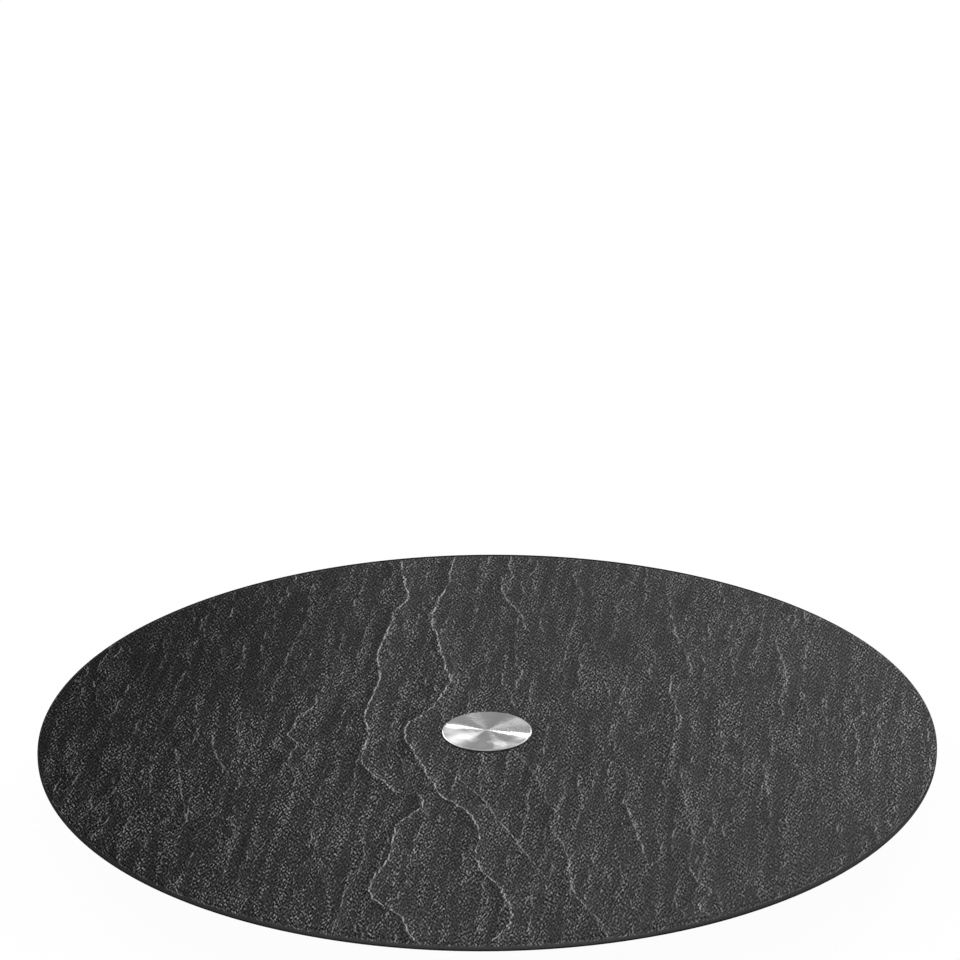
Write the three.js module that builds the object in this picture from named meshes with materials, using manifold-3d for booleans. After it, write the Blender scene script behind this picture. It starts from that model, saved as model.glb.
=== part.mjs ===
// Lazy susan: a round slate-printed glass plate that turns on a low domed metal base.
// A steel cap and its stud clamp the plate to a rotor, which rolls on a caged ring of balls.
// Millimetres, +Z up, origin on the table under the middle of the plate.

import * as THREE from 'three';
import { mergeVertices } from 'three/addons/utils/BufferGeometryUtils.js';
import Module from 'manifold-3d';

const wasm = await Module();
wasm.setup();

// Glass plate
const plateDiameter = 325;
const plateThickness = 4;
const plateEdgeRadius = 1.9;

// Steel cap on the plate, with the gasket under it
const capDiameter = 32.5;
const capThickness = 0.8;
const capBevel = 0.25;
const gasketThickness = 0.2;
const gasketSetback = 1.5;

// Stud under the cap, the sleeve that keeps it off the glass, and the nut and washer at its foot
const studDiameter = 6;
const studTail = 0.6;
const studTableGap = 2;
const sleeveWall = 1.7;
const nutAcrossFlats = 10;
const nutThickness = 3.2;
const washerDiameter = 26;
const washerThickness = 1.2;

// Rotor under the plate, and the soft pad between them
const padThickness = 1.2;
const padSetback = 3;
const rotorWeb = 2.2;
const rotorFlangeWidth = 10;
const rotorFlangeThickness = 3;
const spigotDiameter = 16;

// Ball bearing between rotor and base
const ballDiameter = 6;
const ballCount = 20;
const ballCircleDiameter = 110;
const raceWidth = 13;
const raceFloor = 1.3;
const grooveDepth = 0.9;
const cageThickness = 2;
const cageSetback = 1.5;
const bearingGap = 1.6;
const channelWall = 3;

// Plastic bush that guides the rotor's spigot in the base
const bushWall = 1.6;
const bushLength = 5;
const bushFlangeWidth = 3;
const bushFlangeThickness = 1.2;
const axialPlay = 0.3;

// Domed base with ribs inside
const baseWall = 3;
const baseBed = 2.2;
const baseFlangeWidth = 35;
const rimHeight = 3;
const rimChamfer = 0.6;
const hubWall = 3;
const ribCount = 10;
const ribThickness = 2.5;
const ribSetback = 3.5;

// Rubber feet, each held by a screw into a boss of the base
const footCount = 5;
const footDiameter = 16;
const footTaper = 1;
const footHeight = 5;
const footStandOff = 2.5;
const footInset = 4;
const bossWall = 1;
const screwDiameter = 3;
const screwHeadDiameter = 5.6;
const screwHeadHeight = 1.8;
const screwHeadRecess = 0.8;
const screwEngagement = 4;

// Clearances: pieces that slip into each other, and pieces that turn past each other
const fitClearance = 0.3;
const runningClearance = 0.2;

// How finely round shapes are divided
const plateSegments = 80;
const ringSegments = 48;
const smallSegments = 24;
const footSegments = 16;
const screwSegments = 12;
const edgeSteps = 4;
const domeSteps = 6;
const grooveSteps = 6;
const ballDetail = 1;
const weldDistance = 0.0001;

// Radii that follow from the sizes above
const plateRadius = plateDiameter / 2;
const capRadius = capDiameter / 2;
const studRadius = studDiameter / 2;
const studHoleRadius = studRadius + fitClearance;
const sleeveRadius = studHoleRadius + sleeveWall;
const plateHoleRadius = sleeveRadius + fitClearance;
const spigotRadius = spigotDiameter / 2;
const bushBoreRadius = spigotRadius + runningClearance;
const bushRadius = bushBoreRadius + bushWall;
const bushFlangeRadius = bushRadius + bushFlangeWidth;
const washerRadius = washerDiameter / 2;
const hubBoreRadius = bushRadius + fitClearance;
const hubRadius = hubBoreRadius + hubWall;
const hubRecessRadius = Math.max(bushFlangeRadius, washerRadius) + 2 * fitClearance;
const ballRadius = ballDiameter / 2;
const ballCircleRadius = ballCircleDiameter / 2;
const raceInnerRadius = ballCircleRadius - raceWidth / 2;
const raceOuterRadius = ballCircleRadius + raceWidth / 2;
const channelInnerRadius = raceInnerRadius - fitClearance;
const channelOuterRadius = raceOuterRadius + fitClearance;
const ringInnerRadius = channelInnerRadius - channelWall;
const ringOuterRadius = channelOuterRadius + channelWall;
const rotorRadius = ringOuterRadius + rotorFlangeWidth;
const baseRadius = ringOuterRadius + baseFlangeWidth;
const footRadius = footDiameter / 2;
const bossRadius = footRadius + bossWall;
const footCircleRadius = baseRadius - baseWall - footInset - bossRadius;
const screwRadius = screwDiameter / 2;
const screwHoleRadius = screwRadius + fitClearance;
const screwHeadRadius = screwHeadDiameter / 2;
const footPocketRadius = screwHeadRadius + fitClearance;

// Levels above the table: the stud's foot and the nut stack carry up to the base's top
const studFoot = studTableGap;
const nutFoot = studFoot + studTail;
const washerFoot = nutFoot + nutThickness;
const spigotFoot = washerFoot + washerThickness;
const bushFoot = spigotFoot + axialPlay;
const hubFoot = bushFoot + bushFlangeThickness;
const baseTop = hubFoot + bushLength;
const baseWebUnder = baseTop - baseWall;
const rimFoot = footStandOff;
const rimTop = rimFoot + rimHeight;
const ribFoot = rimFoot + ribSetback;

// Levels of the bearing, which lies half in the base and half in the rotor
const ballLevel = baseTop + bearingGap / 2;
const raceFaceOffset = ballRadius - grooveDepth;
const raceThickness = grooveDepth + runningClearance + raceFloor;
const lowerRaceTop = ballLevel - raceFaceOffset;
const lowerRaceFoot = lowerRaceTop - raceThickness;
const upperRaceFoot = ballLevel + raceFaceOffset;
const upperRaceTop = upperRaceFoot + raceThickness;
const bedUnder = lowerRaceFoot - baseBed;
const rotorFoot = baseTop + bearingGap;
const rotorTop = upperRaceTop + rotorWeb;
const rotorFlangeUnder = rotorTop - rotorFlangeThickness;

// Levels of the plate and what lies on it
const plateFoot = rotorTop + padThickness;
const plateTop = plateFoot + plateThickness;
const capFoot = plateTop + gasketThickness;
const capTop = capFoot + capThickness;

// Levels of a foot and its screw
const screwHeadFoot = screwHeadRecess;
const screwHeadTop = screwHeadFoot + screwHeadHeight;
const screwTop = footHeight + screwEngagement;

// Turns a closed outline of [radius, level] points about Z. An outline on the axis closes there.
function lathe(outline, segments) {
  const onAxis = outline[0][0] === 0;
  const ring = onAxis ? outline : [...outline, outline[0]];
  const points = ring.map(([radius, level]) => new THREE.Vector2(radius, level));
  return new THREE.LatheGeometry(points, segments).rotateX(Math.PI / 2);
}

// A plain ring or tube between two radii and two levels.
function ring(innerRadius, outerRadius, foot, top, segments) {
  const outline = [
    [innerRadius, foot],
    [outerRadius, foot],
    [outerRadius, top],
    [innerRadius, top],
  ];
  return lathe(outline, segments);
}

// A solid round bar between two levels, standing at (x, y).
function bar(radius, foot, top, segments, x = 0, y = 0) {
  const outline = [
    [0, foot],
    [radius, foot],
    [radius, top],
    [0, top],
  ];
  return lathe(outline, segments).translate(x, y, 0);
}

// Points of an elliptic arc in the outline plane, from one angle to another.
function arc(centreRadius, centreLevel, widthRadius, heightRadius, startAngle, endAngle, steps) {
  const clockwise = endAngle < startAngle;
  const curve = new THREE.EllipseCurve(
    centreRadius, centreLevel, widthRadius, heightRadius, startAngle, endAngle, clockwise,
  );
  return curve.getPoints(steps).map((point) => [point.x, point.y]);
}

// Places a copy of something evenly around the axis.
function around(count, make) {
  return Array.from({ length: count }, (_, index) => make((2 * Math.PI * index) / count, index));
}

// A closed geometry as a solid for joining and cutting, and back again.
function solid(geometry) {
  const bare = geometry.clone();
  bare.deleteAttribute('normal');
  bare.deleteAttribute('uv');
  const merged = mergeVertices(bare, weldDistance);
  const mesh = new wasm.Mesh({
    numProp: 3,
    vertProperties: new Float32Array(merged.attributes.position.array),
    triVerts: new Uint32Array(merged.index.array),
  });
  return new wasm.Manifold(mesh);
}

function geometryOf(made) {
  const mesh = made.getMesh();
  const geometry = new THREE.BufferGeometry();
  geometry.setAttribute('position', new THREE.BufferAttribute(mesh.vertProperties, 3));
  geometry.setIndex(new THREE.BufferAttribute(mesh.triVerts, 1));
  geometry.computeVertexNormals();
  return geometry;
}

// Glass plate with a pencil-rounded rim and a hole for the stud's sleeve.
// One ring of points on its top keeps the serving face clear of the cap.
function glassPlate() {
  const edgeRadius = Math.min(plateEdgeRadius, plateThickness / 2);
  const edgeCentre = plateRadius - edgeRadius;
  const lowerEdge = arc(
    edgeCentre, plateFoot + edgeRadius, edgeRadius, edgeRadius, -Math.PI / 2, 0, edgeSteps,
  );
  const upperEdge = arc(
    edgeCentre, plateTop - edgeRadius, edgeRadius, edgeRadius, 0, Math.PI / 2, edgeSteps,
  );
  const servingFaceStart = [capRadius + gasketSetback, plateTop];
  const outline = [
    [plateHoleRadius, plateFoot], ...lowerEdge, ...upperEdge, servingFaceStart,
    [plateHoleRadius, plateTop],
  ];
  return lathe(outline, plateSegments);
}

// Turned steel disc with a narrow bevel around its top.
function capDisc() {
  const outline = [
    [0, capFoot],
    [capRadius, capFoot],
    [capRadius, capTop - capBevel],
    [capRadius - capBevel, capTop],
    [0, capTop],
  ];
  return lathe(outline, ringSegments);
}

// Hexagon nut with a clearance hole for the stud.
function hubNut() {
  const cornerRadius = nutAcrossFlats / Math.sqrt(3);
  const corners = around(6, (angle) => new THREE.Vector2(
    cornerRadius * Math.cos(angle), cornerRadius * Math.sin(angle),
  ));
  const shape = new THREE.Shape(corners);
  const hole = new THREE.Path().absarc(0, 0, studHoleRadius, 0, 2 * Math.PI, true);
  shape.holes.push(hole);
  const options = { depth: nutThickness, bevelEnabled: false, curveSegments: smallSegments };
  return new THREE.ExtrudeGeometry(shape, options).translate(0, 0, nutFoot);
}

// Rotor: flange under the plate, channel for the upper race, and the spigot that turns in the bush.
function rotorPlate() {
  const outline = [
    [studHoleRadius, spigotFoot],
    [spigotRadius, spigotFoot],
    [spigotRadius, rotorFlangeUnder],
    [ringInnerRadius, rotorFlangeUnder],
    [ringInnerRadius, rotorFoot],
    [channelInnerRadius, rotorFoot],
    [channelInnerRadius, upperRaceTop],
    [channelOuterRadius, upperRaceTop],
    [channelOuterRadius, rotorFoot],
    [ringOuterRadius, rotorFoot],
    [ringOuterRadius, rotorFlangeUnder],
    [rotorRadius, rotorFlangeUnder],
    [rotorRadius, rotorTop],
    [studHoleRadius, rotorTop],
  ];
  return lathe(outline, ringSegments);
}

// Race ring with a round groove for the balls.
// Side is 1 where the groove opens upwards and -1 where it opens downwards.
function raceRing(faceLevel, backLevel, side) {
  const grooveRadius = ballRadius + runningClearance;
  const halfAngle = Math.acos(raceFaceOffset / grooveRadius);
  const towardsRace = -side * Math.PI / 2;
  const groove = arc(
    ballCircleRadius, ballLevel, grooveRadius, grooveRadius,
    towardsRace + side * halfAngle, towardsRace - side * halfAngle, grooveSteps,
  );
  const outline = [
    [raceInnerRadius, backLevel],
    [raceOuterRadius, backLevel],
    [raceOuterRadius, faceLevel],
    ...groove,
    [raceInnerRadius, faceLevel],
  ];
  return lathe(side > 0 ? outline : outline.reverse(), ringSegments);
}

// Flat cage with a round pocket for each ball.
function ballCage() {
  const foot = ballLevel - cageThickness / 2;
  const top = ballLevel + cageThickness / 2;
  const blank = ring(raceInnerRadius + cageSetback, raceOuterRadius - cageSetback, foot, top, ringSegments);
  const pocketRadius = ballRadius + fitClearance;
  const pockets = around(ballCount, (angle) => solid(bar(
    pocketRadius, foot - cageThickness, top + cageThickness, screwSegments,
    ballCircleRadius * Math.cos(angle), ballCircleRadius * Math.sin(angle),
  )));
  return geometryOf(pockets.reduce((cage, pocket) => cage.subtract(pocket), solid(blank)));
}

// Flanged bush that the spigot turns in.
function pivotBush() {
  const outline = [
    [bushBoreRadius, bushFoot],
    [bushFlangeRadius, bushFoot],
    [bushFlangeRadius, hubFoot],
    [bushRadius, hubFoot],
    [bushRadius, baseTop],
    [bushBoreRadius, baseTop],
  ];
  return lathe(outline, smallSegments);
}

// Quarter-ellipse line of the dome, taken in by some depth from its outer skin, from rim to crown.
function domeLine(depth) {
  const domeHeight = baseTop - rimTop;
  return arc(
    ringOuterRadius, rimTop, baseFlangeWidth - depth, domeHeight - depth, 0, Math.PI / 2, domeSteps,
  );
}

// Thin domed shell of the base with its hub, its web and the bed of the lower race.
function baseShell() {
  const outline = [
    [hubBoreRadius, hubFoot],
    [hubRadius, hubFoot],
    [hubRadius, baseWebUnder],
    [ringInnerRadius, baseWebUnder],
    [ringInnerRadius, bedUnder],
    [ringOuterRadius, bedUnder],
    ...domeLine(baseWall).reverse(),
    [baseRadius - baseWall, rimFoot],
    [baseRadius - rimChamfer, rimFoot],
    [baseRadius, rimFoot + rimChamfer],
    ...domeLine(0),
    [channelOuterRadius, baseTop],
    [channelOuterRadius, lowerRaceFoot],
    [channelInnerRadius, lowerRaceFoot],
    [channelInnerRadius, baseTop],
    [hubBoreRadius, baseTop],
  ];
  return lathe(outline, ringSegments);
}

// Everything under the middle of the shell's wall, which trims the ribs and bosses to the shell.
function spaceUnderShell() {
  const wallMiddle = baseWall / 2;
  const bedMiddle = lowerRaceFoot - baseBed / 2;
  const outline = [
    [0, 0],
    [baseRadius - wallMiddle, 0],
    ...domeLine(wallMiddle),
    [ringOuterRadius - channelWall / 2, baseTop - wallMiddle],
    [ringOuterRadius - channelWall / 2, bedMiddle],
    [ringInnerRadius + channelWall / 2, bedMiddle],
    [ringInnerRadius + channelWall / 2, baseTop - wallMiddle],
    [0, baseTop - wallMiddle],
  ];
  return lathe(outline, ringSegments);
}

// One straight rib from the hub to the rim.
function rib(angle) {
  const start = hubRadius - hubWall / 2;
  const length = baseRadius - start;
  const height = baseTop - ribFoot;
  return new THREE.BoxGeometry(length, ribThickness, height)
    .translate(start + length / 2, 0, ribFoot + height / 2)
    .rotateZ(angle);
}

// Domed base: shell, ribs between the feet, a boss over each foot, and the holes for bush and screws.
function basePlate() {
  const half = Math.PI / ribCount;
  const ribs = around(ribCount, (angle) => solid(rib(angle + half)));
  const bosses = around(footCount, (angle) => solid(bar(
    bossRadius, footHeight, baseTop, smallSegments,
    footCircleRadius * Math.cos(angle), footCircleRadius * Math.sin(angle),
  )));
  const stiffeners = [...ribs, ...bosses].reduce((all, piece) => all.add(piece));
  const hubRecess = solid(bar(hubRecessRadius, -hubFoot, hubFoot, ringSegments));
  const screwHoles = around(footCount, (angle) => solid(bar(
    screwHoleRadius, footHeight - screwEngagement, screwTop + fitClearance, screwSegments,
    footCircleRadius * Math.cos(angle), footCircleRadius * Math.sin(angle),
  )));
  const cast = solid(baseShell()).add(stiffeners.intersect(solid(spaceUnderShell())));
  return geometryOf([hubRecess, ...screwHoles].reduce((base, hole) => base.subtract(hole), cast));
}

// Rubber foot, narrower at the table, with a pocket that sinks the screw's head.
function rubberFoot() {
  const outline = [
    [screwHoleRadius, screwHeadTop],
    [footPocketRadius, screwHeadTop],
    [footPocketRadius, 0],
    [footRadius - footTaper, 0],
    [footRadius, footHeight - footStandOff],
    [footRadius, footHeight],
    [screwHoleRadius, footHeight],
  ];
  return lathe(outline, footSegments);
}

// Screw with a flat round head that draws a foot against its boss.
function footScrew() {
  const outline = [
    [0, screwHeadFoot],
    [screwHeadRadius, screwHeadFoot],
    [screwHeadRadius, screwHeadTop],
    [screwRadius, screwHeadTop],
    [screwRadius, screwTop],
    [0, screwTop],
  ];
  return lathe(outline, screwSegments);
}

function finish(colour, roughness, metalness) {
  return new THREE.MeshStandardMaterial({ color: colour, roughness, metalness });
}

const slateGlass = finish('#2e2e30', 0.35, 0);
const brushedSteel = finish('#c4c4c4', 0.3, 1);
const plainSteel = finish('#a9abad', 0.35, 1);
const satinAluminium = finish('#b9babc', 0.42, 1);
const darkRubber = finish('#1c1c1d', 0.85, 0);
const clearSilicone = finish('#d9dbda', 0.5, 0);
const whitePlastic = finish('#e8e6df', 0.55, 0);

const susan = new THREE.Group();

function addPiece(name, geometry, material, x = 0, y = 0, z = 0) {
  const mesh = new THREE.Mesh(geometry, material);
  mesh.name = name;
  mesh.position.set(x, y, z);
  susan.add(mesh);
}

addPiece('glass_plate', glassPlate(), slateGlass);
addPiece('cap_disc', capDisc(), brushedSteel);
addPiece(
  'cap_gasket',
  ring(studHoleRadius, capRadius - gasketSetback, plateTop, capFoot, smallSegments),
  clearSilicone,
);
addPiece('cap_stud', bar(studRadius, studFoot, capFoot, smallSegments), plainSteel);
addPiece('hole_sleeve', ring(studHoleRadius, sleeveRadius, plateFoot, plateTop, smallSegments), whitePlastic);
addPiece(
  'plate_pad',
  ring(studHoleRadius, rotorRadius - padSetback, rotorTop, plateFoot, ringSegments),
  darkRubber,
);
addPiece('rotor_plate', rotorPlate(), satinAluminium);
addPiece(
  'retaining_washer',
  ring(studHoleRadius, washerRadius, washerFoot, spigotFoot, smallSegments),
  plainSteel,
);
addPiece('hub_nut', hubNut(), plainSteel);
addPiece('upper_race', raceRing(upperRaceFoot, upperRaceTop, -1), plainSteel);
addPiece('lower_race', raceRing(lowerRaceTop, lowerRaceFoot, 1), plainSteel);
addPiece('ball_cage', ballCage(), whitePlastic);
around(ballCount, (angle, index) => {
  const name = `ball_${String(index + 1).padStart(2, '0')}`;
  const ball = new THREE.IcosahedronGeometry(ballRadius, ballDetail);
  const x = ballCircleRadius * Math.cos(angle);
  const y = ballCircleRadius * Math.sin(angle);
  addPiece(name, ball, plainSteel, x, y, ballLevel);
});
addPiece('pivot_bush', pivotBush(), whitePlastic);
addPiece('base_plate', basePlate(), satinAluminium);
around(footCount, (angle, index) => {
  const x = footCircleRadius * Math.cos(angle);
  const y = footCircleRadius * Math.sin(angle);
  addPiece(`rubber_foot_${index + 1}`, rubberFoot(), darkRubber, x, y);
  addPiece(`foot_screw_${index + 1}`, footScrew(), plainSteel, x, y);
});

export default susan;
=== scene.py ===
import math
from collections import namedtuple

import bmesh
import bpy
from mathutils import Matrix, Vector


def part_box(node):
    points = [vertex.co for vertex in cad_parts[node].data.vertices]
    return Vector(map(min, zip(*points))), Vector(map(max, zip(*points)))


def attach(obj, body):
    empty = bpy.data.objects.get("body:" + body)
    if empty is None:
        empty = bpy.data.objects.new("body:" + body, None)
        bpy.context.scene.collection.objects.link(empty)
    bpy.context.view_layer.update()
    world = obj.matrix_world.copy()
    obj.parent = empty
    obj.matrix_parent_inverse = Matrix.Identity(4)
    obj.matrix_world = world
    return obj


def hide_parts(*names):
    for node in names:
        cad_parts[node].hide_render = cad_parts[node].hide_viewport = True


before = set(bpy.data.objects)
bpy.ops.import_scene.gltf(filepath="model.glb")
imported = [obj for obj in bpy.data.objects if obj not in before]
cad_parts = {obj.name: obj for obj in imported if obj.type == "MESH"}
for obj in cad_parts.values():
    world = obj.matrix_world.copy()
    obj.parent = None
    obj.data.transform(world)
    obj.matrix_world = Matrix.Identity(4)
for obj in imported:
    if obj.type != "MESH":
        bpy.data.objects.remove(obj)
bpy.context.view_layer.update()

# Lengths below are millimetres. A mesh is scaled to metres when it becomes a piece.
MM = 0.001
TINY = 1e-6
IMAGE_SIDE = 960.0

# How finely round shapes are divided
PLATE_SEGMENTS = 288
RING_SEGMENTS = 160
SMALL_SEGMENTS = 64
BALL_SEGMENTS = 40
FILLET_STEPS = 5
LARGEST_FILLET = 0.49
SHARP_ANGLE = math.radians(32)

# How far up or down the normal of a face points that is nearly level, and of one that is quite level
FACING, LEVEL = 0.9, 0.999


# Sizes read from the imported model

Levels = namedtuple("Levels", "radius foot top")


def levels(node):
    """Outer radius, foot and top of a round CAD node, in millimetres."""
    low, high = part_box(node)
    return Levels((high.x - low.x) / 2 / MM, low.z / MM, high.z / MM)


def middle(node):
    """Where a CAD node stands on the table, in millimetres."""
    low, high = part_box(node)
    return (low.x + high.x) / 2 / MM, (low.y + high.y) / 2 / MM


PLATE = levels("glass_plate")
CAP = levels("cap_disc")
GASKET = levels("cap_gasket")
STUD = levels("cap_stud")
SLEEVE = levels("hole_sleeve")
PAD = levels("plate_pad")
ROTOR = levels("rotor_plate")
WASHER = levels("retaining_washer")
NUT = levels("hub_nut")
UPPER_RACE = levels("upper_race")
LOWER_RACE = levels("lower_race")
CAGE = levels("ball_cage")
BUSH = levels("pivot_bush")
BASE = levels("base_plate")
FOOT = levels("rubber_foot_1")
SCREW = levels("foot_screw_1")
BALL_CIRCLE = middle("ball_01")[0]
BALL_LEVEL = (CAGE.foot + CAGE.top) / 2
FOOT_PLACES = [middle(f"rubber_foot_{n}") for n in range(1, 6)]
BALL_COUNT = 20

# Clearance of pieces that fit together, and of pieces that turn past each other
FIT = 0.3
RUNNING = 0.2

# Sizes that the boxes don't give
BALL_RADIUS = 3.0
STUD_HOLE = STUD.radius + FIT
PLATE_HOLE, PLATE_HOLE_EDGE = SLEEVE.radius + FIT, 0.4
PLATE_RINGS = (60.0, 120.0)
PLATE_INNER_RING = CAP.radius + 1.5
UPPER_EDGE, UPPER_EDGE_STEPS = 1.0, 12
LOWER_EDGE, LOWER_EDGE_STEPS = 1.9, 14
CAP_BEVEL, CAP_FOOT_EDGE = 0.25, 0.1
CAP_CROWN, CAP_CROWN_STEPS = 0.20, 12
CAP_ROLL, CAP_ROLL_DROP, CAP_ROLL_BEND, CAP_ROLL_STEPS = 0.3, 0.05, 1.6, 6
SPIGOT_RADIUS = 8.0
ROTOR_FLANGE_UNDER = ROTOR.top - 3.0
ROTOR_FOOT = BASE.top + 1.6
CHANNEL_INNER, CHANNEL_OUTER, CHANNEL_EDGE = 48.2, UPPER_RACE.radius + FIT, 0.3
RING_INNER, RING_OUTER = 45.2, CHANNEL_OUTER + 3.0
RACE_INNER, RACE_EDGE = 2 * BALL_CIRCLE - UPPER_RACE.radius, 0.25
GROOVE_RADIUS, GROOVE_STEPS = BALL_RADIUS + RUNNING, 16
CAGE_INNER = 2 * BALL_CIRCLE - CAGE.radius
POCKET_RADIUS, POCKET_FLARE, POCKET_EDGE = BALL_RADIUS + FIT, 0.6, 0.3
BUSH_BORE, BUSH_RADIUS = SPIGOT_RADIUS + RUNNING, 9.8
HUB_FOOT = BUSH.foot + 1.2
HUB_BORE, HUB_RADIUS, HUB_RECESS = BUSH_RADIUS + FIT, 13.1, 13.6
BASE_WALL, DOME_STEPS = 3.0, 24
RIM_TOP = BASE.foot + 3.0
RIM_OUTER_EDGE, RIM_INNER_EDGE, RIM_EDGE_STEPS = 0.7, 0.4, 6
WEB_UNDER = BASE.top - BASE_WALL
BED_THICKNESS = 2.2
BED_UNDER = LOWER_RACE.foot - BED_THICKNESS
RIB_FOOT = BASE.foot + 3.5
RIB_COUNT, RIB_THICKNESS = 10, 2.5
BOSS_RADIUS, BOSS_EDGE = FOOT.radius + 1.0, 0.5
SCREW_RADIUS, SCREW_HOLE, SCREW_HOLE_TIP = 1.5, 1.8, 0.8
SCREW_HEAD_TOP = SCREW.foot + 1.8
SCREW_RECESS = (3.2, 0.8, 1.6)
THREAD_PITCH, THREAD_STEPS = 1.0, 8
STUD_THREAD_DEPTH, STUD_THREAD_TOP, STUD_SEGMENTS = 0.5, 9.0, 48
SCREW_THREAD_DEPTH, SCREW_THREAD_TOP, SCREW_SEGMENTS = 0.3, SCREW.top - 0.6, 24
NUT_CHAMFER, NUT_SINK, NUT_SINK_DEPTH = 0.5, 1.4, 0.4
FOOT_POCKET = SCREW.radius + FIT
FOOT_TAPER = 1.0
FOOT_GROOVE, FOOT_GROOVE_DEPTH = (4.6, 4.9, 5.3, 5.6), 0.5

# How far a cutting shape stands out past what it cuts
PAST = 1.0


# Camera at the photograph's viewing angle

CAMERA_ELEVATION = math.radians(25.482)
CAMERA_DISTANCE = 1851.5
CAMERA_FOCUS_PIXELS = 5104.0
CAMERA_PITCH = math.radians(2.833)
CAMERA_YAW = math.radians(-0.060)
CAMERA_ROLL = math.radians(-0.387)
CAMERA_NEAR, CAMERA_FAR = 0.05, 60.0
SENSOR_WIDTH = 36.0


def add_object(name, data):
    """A new object in the scene."""
    made = bpy.data.objects.new(name, data)
    bpy.context.scene.collection.objects.link(made)
    return made


def add_camera():
    """A level view from the front, turned up a little so that the plate sits low in the frame."""
    ahead = Vector((0, math.cos(CAMERA_ELEVATION), -math.sin(CAMERA_ELEVATION)))
    right = Vector((1, 0, 0))
    above = right.cross(ahead)
    place = Vector((0, 0, PLATE.top)) - CAMERA_DISTANCE * ahead

    def tipped(first, second, angle):
        """Two directions, turned in their plane so that the first moves towards the second."""
        cosine, sine = math.cos(angle), math.sin(angle)
        return first * cosine + second * sine, second * cosine - first * sine

    ahead, above = tipped(ahead, above, CAMERA_PITCH)
    ahead, right = tipped(ahead, right, CAMERA_YAW)
    right, above = tipped(right, above, CAMERA_ROLL)
    turn = Matrix((right, above, -ahead)).transposed().to_4x4()
    data = bpy.data.cameras.new("camera")
    data.sensor_width = SENSOR_WIDTH
    data.lens = CAMERA_FOCUS_PIXELS / IMAGE_SIDE * SENSOR_WIDTH
    data.clip_start, data.clip_end = CAMERA_NEAR, CAMERA_FAR
    camera = add_object("camera", data)
    camera.matrix_world = Matrix.Translation(place * MM) @ turn
    bpy.context.scene.camera = camera


# Node trees

# Where most values of a noise lie, and the number of the input for the lean of strokes
NOISE_SPAN = (0.3, 0.7)
GABOR_LEAN = 4


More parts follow.
